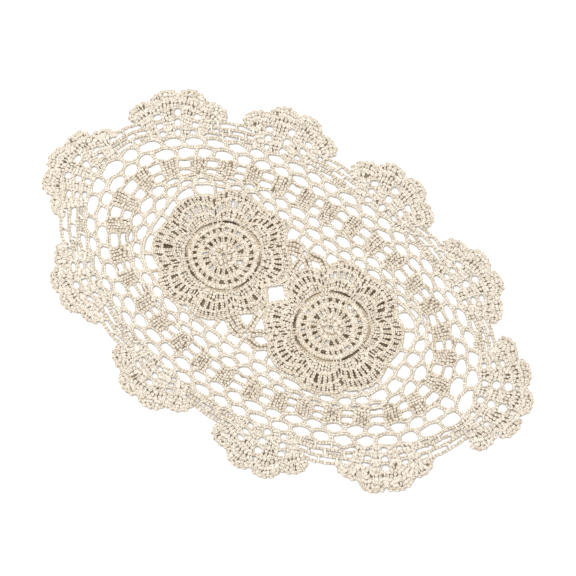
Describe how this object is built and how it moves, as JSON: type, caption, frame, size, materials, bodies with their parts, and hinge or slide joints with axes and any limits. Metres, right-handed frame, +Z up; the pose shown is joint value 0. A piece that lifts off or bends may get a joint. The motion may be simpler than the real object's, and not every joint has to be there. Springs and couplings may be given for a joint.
{
  "type": "crochet placemat",
  "caption": "Flat oval placemat of openwork crochet with joined round medallions, net rounds and a scalloped fan edging, laid on a table under a plate.",
  "frame": {"origin": "middle of the mat's outline, on its underside", "axes": "+X along the mat's length, +Z up out of its upper face"},
  "size_m": [0.446, 0.2882, 0.0033],
  "materials": {
    "cotton_yarn": "matte natural cream cotton yarn"
  },
  "bodies": {
    "root": {"placemat": "cotton_yarn"}
  },
  "joints": []
}
